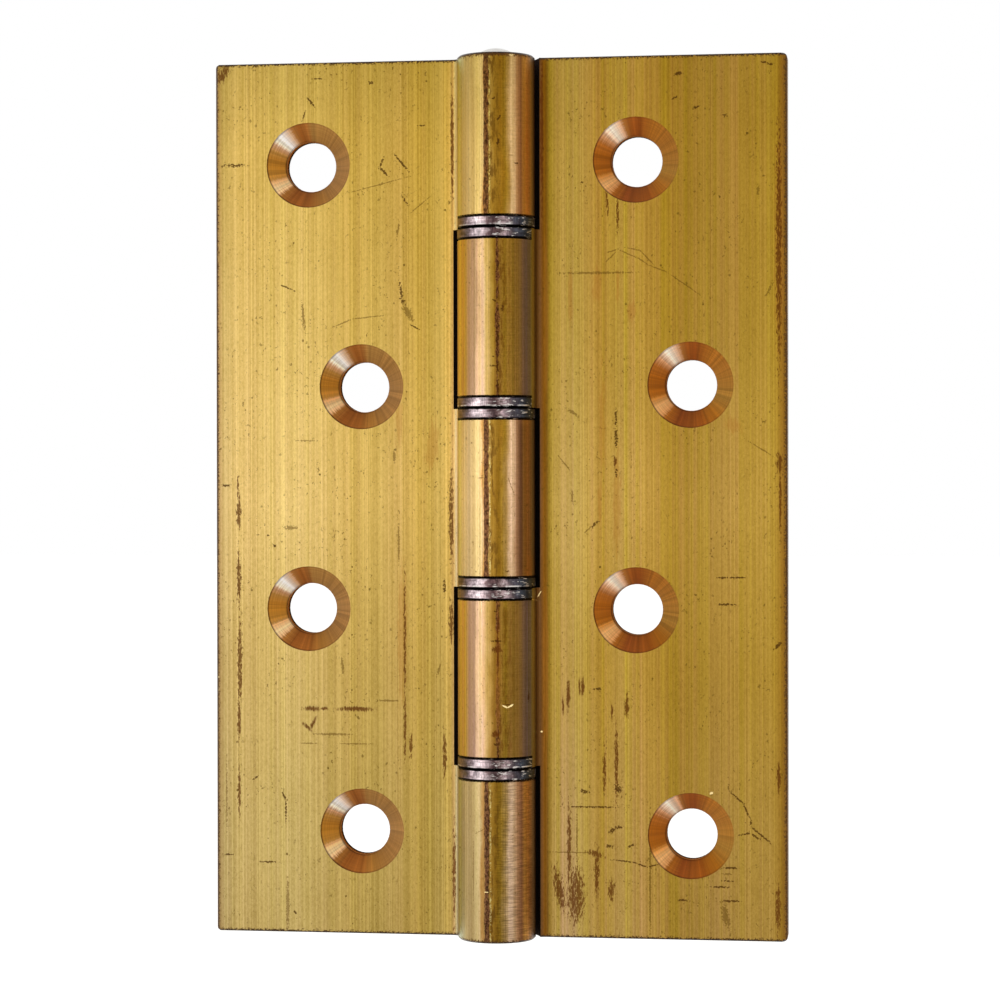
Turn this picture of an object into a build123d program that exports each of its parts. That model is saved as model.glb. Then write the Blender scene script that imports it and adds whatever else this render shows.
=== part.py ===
from build123d import *
import os

# Butt hinge with a pair of flat washers in every gap between its knuckles.
# Sizes are in millimetres. The pin's axis is Z, up, and the barrel stands on Z = 0.
# The leaf with three knuckles goes to -X and the one with two knuckles to +X.
# The countersunk faces look to -Y, and the backs of both leaves lie on one plane.

length = 102.0
open_width = 67.0
barrel_radius = 4.5
leaf_thickness = 3.4
root_radius = 1.0
corner_radius = 0.5
end_chamfer = 0.2

# Five knuckles share the barrel. The middle three are a little longer than the end two.
knuckle_pitch = 20.74
middle = length / 2
joints_z = [middle + knuckle_pitch * k for k in (-1.5, -0.5, 0.5, 1.5)]
joint_gap = 0.08
washer_thickness = 1.245
washer_flat = 4.3
seat_depth = 3.4
seat_back = 3.2
washer_bore_radius = 2.6
washer_edge = 0.14
knuckle_edge = 0.15
wide_notch_radius = 5.3
wide_notch_wrap = 2.8
close_notch_radius = 5.05
close_notch_wrap = 3.4

# The pin is tight in the three knuckles and turns freely in the two.
pin_radius = 2.5
pin_rise = 1.0
pin_chamfer = 0.3
turning_clearance = 0.05
bore_mouth = 0.25

# Screw holes: four to a leaf, in two staggered columns.
hole_radius = 2.95
countersink_radius = 4.975
hole_pitch = 26.0
hole_rows = [middle + hole_pitch * k for k in (1.5, 0.5, -0.5, -1.5)]
outer_column = 22.4
inner_column = 16.1

back = barrel_radius
front = back - leaf_thickness
reach = open_width / 2


def block(x0, x1, y0, y1, z0, z1):
    """A plain box between two corners."""
    return Pos(x0, y0, z0) * Box(x1 - x0, y1 - y0, z1 - z0, align=(Align.MIN,) * 3)


def zone(index):
    """Bottom and top of a knuckle's length of the barrel, between the middles of its gaps."""
    marks = [0.0] + joints_z + [length]
    low, high = marks[index], marks[index + 1]
    half = joint_gap / 2
    return (low if index == 0 else low + half), (high if index == 4 else high - half)


def extrusion(bevel):
    """Section of the drawn bar: plate, barrel and the small fillet between them, reaching to -X."""
    spread = barrel_radius + root_radius
    centre = Vector(-((spread**2 - (front - root_radius) ** 2) ** 0.5), front - root_radius)
    toe = centre + Vector(0, root_radius)
    touch = centre * (barrel_radius / spread)
    waist = centre + Vector(1, 1).normalized() * root_radius
    top = Vector(0, back)
    far = Vector(barrel_radius, 0).rotate(Axis.Z, -60)
    corner = [Vector(-reach, back), Vector(-reach, front + bevel), Vector(-reach + bevel, front)]
    outline = Polyline(top, *corner, toe).edges()
    outline += [ThreePointArc(toe, waist, touch), ThreePointArc(touch, far, top)]
    return make_face(Wire(outline))


def screw_hole(x, z):
    """A clearance hole through the leaf with a 90 degree countersink in the front face."""
    depth = countersink_radius - hole_radius
    lead = 0.3
    at = Plane(origin=(x, front - lead, z), x_dir=(1, 0, 0), z_dir=(0, 1, 0))
    start = (Align.CENTER, Align.CENTER, Align.MIN)
    cone = Cone(countersink_radius + lead, hole_radius, depth + lead, align=start)
    return at * cone + at * Cylinder(hole_radius, leaf_thickness + 2 * lead, align=start)


def rounded_outline():
    """The leaf's outline seen from the front, with its outer corners rounded, as deep as the bar."""
    plate = block(-reach, reach, -6, 6, 0, length)
    return fillet(plate.edges().filter_by(Axis.Y).group_by(Axis.X)[0], corner_radius)


def notch(radius, wrap, z0, z1):
    """Room for a knuckle of the other leaf: its wall follows that knuckle, then runs straight to the back."""
    straight = (radius**2 - wrap**2) ** 0.5
    bottom = (Align.CENTER, Align.CENTER, Align.MIN)
    return Pos(0, 0, z0) * Cylinder(radius, z1 - z0, align=bottom) + block(-straight, 6, -6, 6, z0, z1)


def rim(z):
    """A filter for the barrel's outer edges at one height."""
    return lambda e: e.geom_type == GeomType.CIRCLE and abs(e.radius - barrel_radius) < 1e-4 and abs(
        e.center().Z - z
    ) < 1e-4


def leaf(own, columns, bore_radius, notch_radius, notch_wrap, edge_bevel):
    """One leaf, drawn to -X, with its knuckles, the seats of its washers and its screw holes."""
    body = extrude(extrusion(edge_bevel), length)
    ends = body.faces().filter_by(Axis.Z)
    body = chamfer([e for f in ends for e in f.outer_wire().edges()], end_chamfer)
    body &= rounded_outline()

    for index in range(5):
        low, high = zone(index)
        if index not in own:
            z0 = -1 if index == 0 else low - joint_gap
            z1 = length + 1 if index == 4 else high + joint_gap
            body -= notch(notch_radius, notch_wrap, z0, z1)
    for index in own:
        low, high = zone(index)
        seats = []
        if index != 0:
            seats.append((low, low + washer_thickness, low + washer_thickness))
        if index != 4:
            seats.append((high - washer_thickness, high, high - washer_thickness))
        for z0, z1, face_z in seats:
            body -= block(-washer_flat, 6, -6, seat_depth, z0, z1) + block(-seat_back, 6, 0, 6, z0, z1)
            body = chamfer(body.edges().filter_by(rim(face_z)), knuckle_edge)

    body -= Cylinder(bore_radius, length, align=(Align.CENTER, Align.CENTER, Align.MIN))
    for z, flip in ((0.0, 0), (length, 180)):
        mouth = Cone(bore_radius + bore_mouth, bore_radius, bore_mouth, align=(Align.CENTER, Align.CENTER, Align.MIN))
        body -= Pos(0, 0, z) * Rot(flip, 0, 0) * mouth
    for z, x in zip(hole_rows, columns):
        body -= screw_hole(-x, z)
    return body


def washer(low, side):
    """A flat washer on one knuckle's end, with a straight side against the web of its leaf."""
    base = (Align.CENTER, Align.CENTER, Align.MIN)
    disc = chamfer(Cylinder(barrel_radius, washer_thickness, align=base).edges(), washer_edge)
    disc -= Cylinder(washer_bore_radius, washer_thickness, align=base)
    off = block(-6, -washer_flat, -6, 6, -1, 3) if side < 0 else block(washer_flat, 6, -6, 6, -1, 3)
    return Pos(0, 0, low) * (disc - off)


def pin():
    """A plain steel pin, flush at the bottom, with a low dome that stands proud at the top."""
    base = (Align.CENTER, Align.CENTER, Align.MIN)
    dome_radius = (pin_radius**2 + pin_rise**2) / (2 * pin_rise)
    rod = Cylinder(pin_radius, length + pin_rise, align=base)
    rod = chamfer(rod.faces().sort_by(Axis.Z)[0].edges(), pin_chamfer)
    return rod & Pos(0, 0, length + pin_rise - dome_radius) * (
        Sphere(dome_radius) + Pos(0, 0, -length) * Cylinder(dome_radius + 1, 2 * length)
    )


def single(shape):
    """The one solid of a shape."""
    return shape.solids()[0]


three = leaf((0, 2, 4), (outer_column, inner_column) * 2, pin_radius, wide_notch_radius, wide_notch_wrap, 0.3)
loose_bore = pin_radius + turning_clearance
two = leaf((1, 3), (inner_column, outer_column) * 2, loose_bore, close_notch_radius, close_notch_wrap, 0.6)
nodes = {
    "three_knuckle_leaf": single(three),
    "two_knuckle_leaf": single(mirror(two, about=Plane.YZ)),
    "hinge_pin": single(pin()),
}
for number, z in enumerate(reversed(joints_z), start=1):
    # The upper washer of a pair belongs to the knuckle above it, and the lower one to the knuckle below.
    upper_side = -1 if number % 2 else 1
    nodes[f"washer_gap{number}_upper"] = single(washer(z + joint_gap / 2, upper_side))
    nodes[f"washer_gap{number}_lower"] = single(washer(z - joint_gap / 2 - washer_thickness, -upper_side))

os.makedirs("parts", exist_ok=True)
for name, solid in nodes.items():
    export_step(solid, f"parts/{name}.step")
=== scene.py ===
"""A washered butt hinge in drawn brass, standing open, with dark steel washers between its knuckles.

Sizes are in millimetres until a shader or a mesh needs metres. The pin's axis is Z, the barrel stands on
Z = 0, the leaf with three knuckles goes to -X and the countersunk faces look to -Y.
"""

from types import SimpleNamespace
from typing import NamedTuple

import bpy
import numpy as np
from bpy.props import FloatProperty, FloatVectorProperty, PointerProperty
from mathutils import Matrix, Vector

bl_info = {
    "name": "Washered butt hinge",
    "version": (1, 0, 0),
    "blender": (4, 5, 0),
    "location": "3D View > Sidebar > Hinge",
    "description": "Finishes of a drawn brass butt hinge with steel washers, and the stage it is shown on",
    "category": "Material",
}

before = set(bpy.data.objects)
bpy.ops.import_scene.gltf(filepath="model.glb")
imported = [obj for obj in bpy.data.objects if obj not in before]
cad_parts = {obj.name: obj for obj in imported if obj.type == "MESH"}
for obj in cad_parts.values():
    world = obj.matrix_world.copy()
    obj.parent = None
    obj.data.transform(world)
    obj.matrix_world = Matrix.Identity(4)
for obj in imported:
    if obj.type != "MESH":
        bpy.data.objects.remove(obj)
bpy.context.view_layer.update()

# Where the source puts things, in millimetres.
LENGTH = 102.0
BARREL_RADIUS = 4.5
FRONT = 1.1
BACK = 4.5
REACH = 33.5
JOINT_PITCH = 20.74
LOW_JOINT = 19.89
HOLE_PITCH = 26.0
LOW_HOLE = 12.0
HOLE_RADIUS = 2.95
COUNTERSINK_RADIUS = 4.975
OUTER_COLUMN = 22.4
INNER_COLUMN = 16.1
# How far from the pin's axis the curved walls of the notches, and the roots of the leaves, reach at most.
NOTCH_REACH = 5.7
ROOT_REACH = 7.5
# How deep behind a face its own tones and wear reach, and how closely a cutter's rings follow each other.
SKIN = 0.3
RINGS_PER_MM = 6.0

# A Mix node names its sockets alike for every kind of value, so they go by number: a number for a factor
# of 0 and one for 1, or the colour under and the colour that covers it as far as the factor says.
LOW, HIGH = 2, 3
UNDER, OVER = 6, 7
COLOURS = {"data_type": "RGBA", "out": 2}


def linear(colour):
    """A six-digit sRGB hex colour as linear red, green and blue."""
    parts = np.array([int(colour[i : i + 2], 16) for i in (0, 2, 4)]) / 255.0
    return tuple(np.where(parts <= 0.04045, parts / 12.92, ((parts + 0.055) / 1.055) ** 2.4))


def add(tree, kind, *values, out=0, sockets=None, stops=(), **settings):
    """Adds one shader node with its settings and links, and returns one of its outputs, by name or number.

    Values fill its inputs in order and sockets fills inputs by name or number, each with a number, a
    colour, a vector or another node's output. Stops are a colour ramp's: (place from 0 to 1, hex colour).
    """
    node = tree.nodes.new("ShaderNode" + kind)
    for name, setting in settings.items():
        setattr(node, name, setting)
    for number, (at, colour) in enumerate(stops):
        elements = node.color_ramp.elements
        element = elements[number] if number < 2 else elements.new(at)
        element.position, element.color = at, (*linear(colour), 1.0)
    for place, value in [*enumerate(values), *(sockets or {}).items()]:
        socket = node.inputs[place]
        if isinstance(value, bpy.types.NodeSocket):
            tree.links.new(value, socket)
        elif socket.type == "RGBA" and len(value) == 3:
            socket.default_value = (*value, 1.0)
        else:
            socket.default_value = value
    return node.outputs[out] if node.outputs else node


def place_in_mm(tree):
    """The point's place on the object in millimetres, as a vector."""
    place = add(tree, "TexCoord", out="Object")
    return add(tree, "VectorMath", place, (1000, 1000, 1000), operation="MULTIPLY")


def blots(tree, place, size, detail=2.0, seed=0.0, roughness=0.55):
    """Noise about 0.5 with blots of the given millimetres in x, y and z: very tall ones are drawn lines."""
    spread = add(
        tree, "VectorMath", place, tuple(1 / s for s in size), (seed, seed * 0.7, seed * 0.3),
        operation="MULTIPLY_ADD",
    )
    return add(tree, "TexNoise", spread, sockets={"Scale": 1.0, "Detail": detail, "Roughness": roughness})


def wear_and_glint_cover(tree, place, spots, ragged, strength, breaks, core, soft):
    """Cover from 0 to strength over narrow ellipses on a leaf's face, broken up by noise.

    Each spot is x, z, half its length, half its width and its turn in degrees. A point's offset is turned
    and divided by the two halves, so its length is 0 in the middle and 1 at the edge; the nearest spot
    counts, and noise times breaks is added before it fades out past the edge, over soft. Everything
    inside the core share of the ellipse is broken up as much as the core's edge.
    """
    nearest = None
    # The turned ones come last, because a shader with both kinds mixed runs out of the renderer's space.
    for x, z, half_length, half_width, turn in sorted(spots, key=lambda spot: spot[4] not in (0, 90)):
        if turn in (0, 90):
            wide, high = (half_length, half_width) if turn == 0 else (half_width, half_length)
            local = add(
                tree, "VectorMath", place, (1 / wide, 0, 1 / high), (-x / wide, 0, -z / high),
                operation="MULTIPLY_ADD",
            )
        else:
            local = add(
                tree, "Mapping", place, (x, 0, z), (0, -np.radians(turn), 0), (half_length, 1e4, half_width),
                vector_type="TEXTURE",
            )
        away = add(tree, "VectorMath", local, out="Value", operation="LENGTH")
        nearest = away if nearest is None else add(tree, "Math", nearest, away, operation="MINIMUM")
    off = add(tree, "Math", ragged, 0.5, operation="SUBTRACT")
    nearest = add(tree, "Math", nearest, core, operation="MAXIMUM")
    edge = add(tree, "Math", off, breaks, nearest, operation="MULTIPLY_ADD")
    gone = 1.15
    return add(tree, "MapRange", edge, gone - soft, gone, strength, 0.0, interpolation_type="SMOOTHSTEP")


def emptied(owner):
    """A new material's or world's node tree, emptied."""
    owner.use_nodes = True
    owner.node_tree.nodes.clear()
    return owner.node_tree


def dress(name, material):
    """Puts one material in every slot of a node."""
    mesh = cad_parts[name].data
    if not mesh.materials:
        mesh.materials.append(material)
    for index in range(len(mesh.materials)):
        mesh.materials[index] = material


# Wear, and painted glints on chips, on the front of the leaves and knuckles, read from the photograph:
# x, z, half length, half width, turn.
LEFT_NICKS = [
    (-31.3, 90.1, 1.3, 0.18, 0), (-22.1, 97.4, 0.76, 0.12, -54), (-22.9, 95.8, 0.65, 0.09, 71),
    (-13.7, 90.1, 0.63, 0.12, 65), (-13.4, 89.1, 0.75, 0.15, -43), (-11.3, 90.1, 1.3, 0.13, -50),
    (-10.9, 85.7, 0.74, 0.12, -58), (-8.9, 94.4, 0.39, 0.09, 0), (-11.4, 75.2, 1.2, 0.15, -82),
    (-11.1, 74, 0.44, 0.19, -45), (-14.9, 99.5, 0.32, 0.18, 0), (-21.3, 100.1, 0.68, 0.08, 0),
    (-32.3, 52.5, 0.48, 0.18, 0), (-26.5, 45.4, 0.2, 0.19, 90), (-27.3, 46.6, 0.21, 0.12, 0),
    (-25.4, 16, 0.64, 0.14, -69), (-25.2, 14.3, 1.3, 0.12, 90), (-32.1, 9, 0.53, 0.11, 0),
    (-27.3, 8.2, 1, 0.11, 0), (-28.8, 18.1, 0.47, 0.12, 31), (-24.1, 2.3, 0.24, 0.15, -44),
    (-6.3, 40.5, 1, 0.15, 90), (-9.7, 70.9, 0.75, 0.09, -27), (-25, 75.7, 0.87, 0.09, -23),
    (2.9, 89.3, 0.3, 0.1, -10), (0.86, 91.6, 0.45, 0.15, 80), (0.92, 94.4, 0.35, 0.12, 60),
    (0.36, 96.7, 0.3, 0.12, 40), (1.8, 42.6, 0.2, 0.1, 0),
]
LEFT_SMUDGES = [
    (-22.1, 26.3, 1.1, 0.32, 0), (-20.6, 26.3, 0.53, 0.23, 0), (-16.9, 26.3, 2.4, 0.32, 0),
    (-22.7, 24.2, 0.78, 0.23, -40), (-21.9, 24.6, 1, 0.23, 63),
]
LEFT_HAIRLINES = [
    (-13.9, 87.6, 4.1, 0.07, 14), (-8.9, 85.3, 1.6, 0.07, 39), (-11.7, 82.4, 0.94, 0.12, 82),
    (-18.2, 71.5, 1.2, 0.09, 22), (-15.5, 72.1, 1.8, 0.08, 6), (-23, 72.2, 1.6, 0.18, -84),
    (-24.6, 47.5, 0.77, 0.23, 0), (-22.8, 57.7, 1.3, 0.09, 0), (-12.2, 55.8, 0.74, 0.15, 90),
    (-11.7, 45.8, 2.2, 0.12, 90), (-18.4, 31.3, 0.88, 0.18, -85), (-19.5, 23.3, 2.3, 0.13, 0),
    (-22.4, 22.2, 0.99, 0.09, 0), (-16.9, 22.2, 1.9, 0.08, 0), (-12.9, 27.3, 1.5, 0.12, 0),
    (-32.3, 15.9, 4.1, 0.09, 90), (-25, 3, 3, 0.18, 90), (-7, 30.9, 0.78, 0.12, 75),
    (-10.6, 72.6, 1.2, 0.35, -58), (2.3, 90.2, 0.3, 0.06, 0), (-1.3, 53.3, 0.45, 0.07, 5),
    (2.2, 52.5, 1.05, 0.07, -71), (-2.2, 8.2, 3.7, 0.06, 90), (-1.3, 12.9, 0.7, 0.07, 30),
]
LEFT_STAINS = [
    (-30.9, 52.2, 1.6, 0.12, 90), (-30.8, 49.3, 2, 0.27, 90), (-30.8, 41.5, 3.1, 0.26, 90),
    (-30.7, 31.6, 4.8, 0.28, 90), (-30.8, 24.9, 2.6, 0.2, 90), (-30.8, 16.4, 3, 0.17, 90),
    (-5.3, 92.4, 6, 0.19, 90), (-5.5, 48.7, 5.2, 0.25, 90), (-5.5, 36.6, 2.4, 0.26, 90),
    (-5.2, 7.5, 5.3, 0.18, 90), (-6.3, 20.9, 2.5, 0.23, 90), (-11, 34.4, 7.2, 0.14, 90),
    (-11, 24.6, 4.1, 0.16, 90), (-10.3, 22, 1.5, 0.18, 90), (-32.6, 100.8, 1.2, 0.53, 58),
    (0.6, 101.8, 1.7, 0.25, 0),
]
LEFT_TINTS = [
    (-11.6, 60, 3.3, 0.53, 90), (-7.7, 56.9, 3.5, 0.82, 85), (-11.3, 35.6, 8.8, 0.59, 90),
    (4.1, 43, 1.6, 0.35, 90),
]
# Painted glints on chips and small dents.
LEFT_CHIP_GLINTS = [
    (2.3, 101.7, 0.28, 0.14, 0), (-0.63, 5.9, 0.25, 0.06, 0), (-33.3, 29.9, 0.15, 0.14, 0),
    (-33.3, 28.4, 0.35, 0.1, 90),
]
RIGHT_NICKS = [
    (21, 99.8, 0.47, 0.18, 10), (20.7, 97.1, 0.49, 0.11, 26), (23.1, 95.9, 0.38, 0.13, 26),
    (26.4, 94.9, 0.23, 0.18, 0), (30.9, 100.9, 0.35, 0.12, -8), (31.6, 100.7, 0.38, 0.15, 0),
    (9.9, 87.5, 0.17, 0.14, 0), (11.7, 28.9, 0.56, 0.15, 0), (14, 17.3, 0.54, 0.29, -45),
    (10.1, 17, 0.56, 0.2, -13), (11.1, 15.2, 2.9, 0.11, 0), (13.3, 12.5, 0.47, 0.26, 34),
    (14.1, 12.9, 0.43, 0.2, 0), (13, 10.7, 0.38, 0.21, 0), (15.5, 10.8, 0.45, 0.14, 23),
    (14.6, 9, 1.3, 0.09, -5), (16.6, 8.6, 1, 0.09, -18), (18, 8.5, 0.69, 0.09, 15),
    (27.8, 16.4, 0.96, 0.11, -41), (28.8, 15, 1.1, 0.11, -63), (29.3, 13.7, 0.52, 0.11, 90),
    (30.4, 12.3, 1.6, 0.11, -39), (28.5, 12.3, 0.69, 0.11, 12), (29.8, 12.1, 0.75, 0.11, -37),
    (27, 8.4, 0.97, 0.11, 0), (26.6, 6.9, 0.56, 0.11, 0), (25.8, 6.2, 0.97, 0.11, 0), (26.9, 4.6, 1, 0.12, 0),
    (21.5, 4.6, 0.64, 0.12, 0), (32.4, 34, 0.62, 0.18, 50), (13.8, 60.3, 1, 0.15, 90),
    (13.8, 57.9, 1.1, 0.19, 90), (13.8, 53.9, 0.5, 0.15, 90), (26.1, 41.8, 0.62, 0.11, 0),
    (27.7, 41.8, 0.91, 0.11, 0), (26.4, 38.7, 0.98, 0.12, 0), (11.3, 47.9, 0.53, 0.16, 40),
    (0.56, 38.1, 0.2, 0.13, 0), (0.63, 34.65, 0.6, 0.13, 0), (0.53, 22.8, 0.35, 0.14, 0),
    (4, 28.1, 0.5, 0.1, 90), (0.38, 73.6, 0.25, 0.1, -30), (1.3, 72.7, 0.3, 0.12, 80),
    (0.36, 67.2, 0.25, 0.08, -10), (0.3, 66.1, 0.32, 0.1, 0), (0.77, 66, 0.7, 0.16, 90),
    # The last spot on this line, at x 1.86 and z 27.4, is painted shade on the upper side of a dent, above
    # its painted glint.
    (0.8, 63.6, 1.2, 0.14, 90), (0.75, 69.5, 1.8, 0.1, 90), (1.86, 27.4, 0.5, 0.07, 0),
]
RIGHT_SMUDGES = [
    (8.2, 28.1, 1.9, 0.25, 90), (9.9, 29.1, 1.1, 0.25, 90), (15, 26.9, 1.5, 0.3, 90),
    (13.7, 55.2, 0.73, 0.21, 90), (9.5, 29.1, 1.1, 0.15, 90), (7.6, 26.9, 1.2, 0.14, 90),
    (13.3, 26.3, 0.85, 0.15, 90),
]
RIGHT_HAIRLINES = [
    (13.4, 79.5, 0.77, 0.09, 18), (15.1, 79.2, 1.3, 0.08, -25), (16.9, 78.3, 0.86, 0.08, -34),
    (18.7, 77.4, 1.3, 0.08, -21), (21.7, 75.6, 2.4, 0.07, -35), (13.2, 78.8, 0.89, 0.08, 44),
    (15.8, 79.7, 0.87, 0.08, -13), (17.4, 78.7, 1.2, 0.08, -46), (11.6, 77, 4.1, 0.15, 0),
    (7.7, 55.1, 1.2, 0.08, -51), (10.5, 47.3, 0.74, 0.09, 44), (8.7, 9.9, 3, 0.08, 0),
    (9.2, 11.9, 3, 0.09, 90), (30.5, 56.6, 1.7, 0.08, -32), (26.5, 7.7, 0.55, 0.12, 0),
    (17.7, 7.7, 7.4, 0.13, 90), (30.2, 86.2, 0.69, 0.18, 90), (31.5, 74.9, 0.74, 0.18, 66),
    (8.9, 60.8, 0.81, 0.18, -34), (8.7, 51.1, 0.71, 0.13, 90), (26.4, 2.9, 1.5, 0.41, -77),
    (12.4, 36.2, 1.7, 0.08, 90), (1.9, 24, 2, 0.07, 82),
]
RIGHT_STAINS = [
    (12.8, 85.2, 1.5, 0.14, -85), (14, 83.8, 2.1, 0.15, 90), (7.1, 5.6, 2.4, 0.53, -79),
    (9.1, 4.9, 3.1, 0.94, 90), (11.5, 7.7, 2.8, 0.29, 90), (13.2, 5.6, 1.1, 0.35, 90),
    (32.6, 54.9, 1.2, 0.38, 90), (32.7, 50.7, 3.6, 0.15, 90), (32.5, 18.8, 1.7, 0.23, 90),
    (32.4, 3.8, 2.6, 0.29, 90), (11.3, 9.8, 0.96, 0.35, -16), (32.55, 80, 13, 0.32, 90),
    (12.4, 19.4, 2.4, 0.2, 90), (13.8, 20.4, 3.7, 0.2, 90), (8.3, 10.7, 4.8, 0.23, 90),
    (5.2, 93, 8, 0.18, 90), (0.63, 33.6, 0.6, 0.35, 0), (0.6, 24, 0.55, 0.35, 0), (0.75, 34.4, 3.2, 0.13, 90),
]
RIGHT_TINTS = [
    (12.2, 59.7, 6.4, 0.35, 90), (11.9, 50.4, 3.4, 0.23, 90), (15.6, 72.6, 1.3, 0.47, 90),
    (13.9, 50.7, 6.8, 0.47, 90), (32.6, 79.5, 13, 0.6, 90), (5.7, 71.8, 10.4, 0.35, 90),
    (5.6, 30.7, 10.5, 0.35, 90), (0.75, 30.6, 7.5, 0.35, 90), (8.5, 74.1, 3.3, 0.3, 90),
    (11.7, 75.4, 2.2, 0.6, 90), (14, 75.5, 2, 0.25, 90), (27.3, 59.3, 1.2, 0.9, -27),
]
# Painted glints on chips and small dents.
RIGHT_CHIP_GLINTS = [
    (1.55, 27.15, 0.4, 0.09, -25), (2.15, 27.2, 0.44, 0.1, 30), (24.8, 17, 0.25, 0.13, 20),
    (5.1, 23.9, 0.12, 0.1, 0), (4.35, 39.3, 0.3, 0.06, -35), (4.85, 39.8, 0.5, 0.06, 60),
]

# Tones across a face, by distance from the pin, up it, by height, and round the knuckles, by degrees
# from the front; they run the bar's length. The bright and dull bands across the faces and round the
# knuckles are painted reflections of the lamps, with a painted highlight along the left leaf's root and
# painted shade in the right one's, and one leaf is painted lighter than the other. Up the faces, the
# tones are lightest at mid-height.
LEFT_ACROSS = [
    (0, "d29e46"), (4.7, "ffecb5"), (4.95, "fce293"), (5.15, "ecbd69"), (5.3, "d9aa5f"), (5.42, "eec568"),
    (5.6, "ffd166"), (6.8, "d9b453"), (9.2, "ddb44e"), (12.1, "e6be60"), (13.9, "dfba59"), (17.5, "e4bd5c"),
    (21, "ecc769"), (24.6, "f7d376"), (28, "f2cd70"), (30.7, "fad479"), (32.6, "e6c471"), (33, "dfb86c"),
    (33.5, "683f16"),
]
LEFT_UP = [
    (0, "bcbfd1"), (12, "c4c8db"), (31, "cecfde"), (51, "e7e8ff"), (70, "e1e1e8"), (92, "d9d6c8"),
    (102, "c6c4b1"),
]
RIGHT_ACROSS = [
    (0, "69361d"), (5, "78522c"), (5.2, "84571f"), (5.3, "7c5018"), (5.42, "94620f"), (5.7, "845a17"),
    (6.2, "bd9d36"), (7, "c8a450"), (9, "caaa53"), (12, "c49b41"), (14.3, "cdaa4c"), (17.2, "c69e42"),
    (20, "b69032"), (25.2, "b7923d"), (29.8, "c29c40"), (31.5, "c19c3e"), (32.4, "b28d2d"), (33.1, "9a6c20"),
    (33.5, "946432"),
]
RIGHT_UP = [
    (0, "d4d3f4"), (12, "dbdaf4"), (31, "dedbd7"), (51, "f0efff"), (70, "e2dfd4"), (92, "dbd5c0"),
    (102, "d3cdb9"),
]
LEFT_ROUND = [
    (-180, "a8823c"), (-90, "a8823c"), (-62, "fffdb6"), (-44, "ebc87c"), (-30, "ccaa63"), (-20, "dfc072"),
    (-13, "eecb82"), (-9, "d8a050"), (-3, "c39a4b"), (4, "bb8d30"), (14, "a3751e"), (20, "a17a24"),
    (26, "b08a48"), (31, "e6be88"), (35, "e0b680"), (40, "b88450"), (47, "895630"), (54, "c28633"),
    (60, "d28f41"), (68, "ba8956"), (76, "947e6f"), (95, "5a3a1c"), (125, "8c6a34"), (160, "c8a24c"),
    (180, "d9b352"),
]
RIGHT_ROUND = [
    (-180, "c8a350"), (-160, "b8933f"), (-125, "8c6830"), (-95, "6e4a1c"), (-74, "cc9a3c"), (-58, "fbdc68"),
    (-48, "dcab44"), (-32, "b18b62"), (-23, "aa8b60"), (-20, "cfa97c"), (-11, "f2cf95"), (-8, "f1c980"),
    (2, "c49c44"), (6.5, "a07628"), (12, "9a722c"), (28, "8a6923"), (42, "836027"), (50, "765935"),
    (68, "7d7474"), (84, "c1b36a"), (110, "8a6a30"), (180, "a8823c"),
]
# Painted reflection round a countersink, by degrees from +X towards +Z, with two wedges of painted highlight.
LEFT_SHEEN = [
    (-180, "bf852f"), (-168, "cf943d"), (-161, "cb9649"), (-157, "ffc989"), (-146, "ffe4ad"),
    (-139, "ffd29b"), (-134, "ae7739"), (-120, "945825"), (-92, "86501f"), (-72, "9f7031"), (-40, "b5884b"),
    (0, "bd9255"), (36, "ae8446"), (84, "b28746"), (92, "aa6e33"), (104, "a46328"), (114, "b17b40"),
    (120, "e9c59f"), (132, "fffffe"), (141, "fff9e2"), (147, "ddac81"), (156, "bb8b44"), (168, "bc8230"),
    (180, "bf852f"),
]
RIGHT_SHEEN = [
    (-180, "a7621b"), (-168, "b56c1d"), (-161, "b46f23"), (-157, "dd9844"), (-144, "f3c17d"),
    (-131, "e2a767"), (-126, "b26e26"), (-108, "89481c"), (-88, "7e4416"), (-70, "8b4c14"), (-48, "b57621"),
    (-20, "c29843"), (0, "c79641"), (30, "c28a39"), (60, "bd7e2d"), (76, "a86523"), (84, "9f561f"),
    (98, "a85f22"), (107, "b47a3b"), (112, "efbe93"), (126, "fff8e5"), (135, "fad8b7"), (141, "d6a070"),
    (152, "b46e2a"), (168, "ad6519"), (180, "a7621b"),
]
# Tones along a washer's edge, by x: a painted reflection of the brass at the left end, a painted highlight
# left of the middle, and painted shade to the right.
WASHER_TONES = [
    (-4.4, "7a6040"), (-3.9, "806848"), (-3.5, "7a6554"), (-3, "6c5d5b"), (-2.6, "79686a"), (-2.1, "a6969a"),
    (-1.65, "c2b3b5"), (-1.2, "d7c5c7"), (-0.75, "bfaaac"), (-0.3, "745e5e"), (0.2, "4c3a3b"),
    (0.65, "543f3f"), (1.1, "705f5c"), (1.56, "a48e90"), (2, "6b5c5e"), (2.5, "453f42"), (3, "433f46"),
    (3.4, "3c4048"), (4.4, "34373c"),
]


# The kinds of wear in the order that a leaf lists them, the last being painted glints on chips: the noise
# that breaks each one up, its colour, and the strength, breaks, core and soft of the spot cover. Tints and
# stains follow the drawing lines.
KINDS_OF_WEAR_AND_GLINT = [
    ("streaky", "a46a28", 0.35, 2.0, 0.0, 0.6),  # tints
    ("brushed", "5a2e0c", 0.85, 4.5, 0.55, 0.5),  # stains
    ("brushed", "562608", 0.85, 3.0, 0.2, 0.7),  # smudges
    ("dotted", "5e4210", 0.6, 2.5, 0.3, 0.5),  # hairlines
    ("dotted", "46280a", 0.85, 3.0, 0.4, 0.5),  # nicks
    # The last kind is painted glints on chips and small dents.
    ("dotted", "f6dc9c", 0.9, 1.5, 0.3, 0.4),  # chips
]


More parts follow.
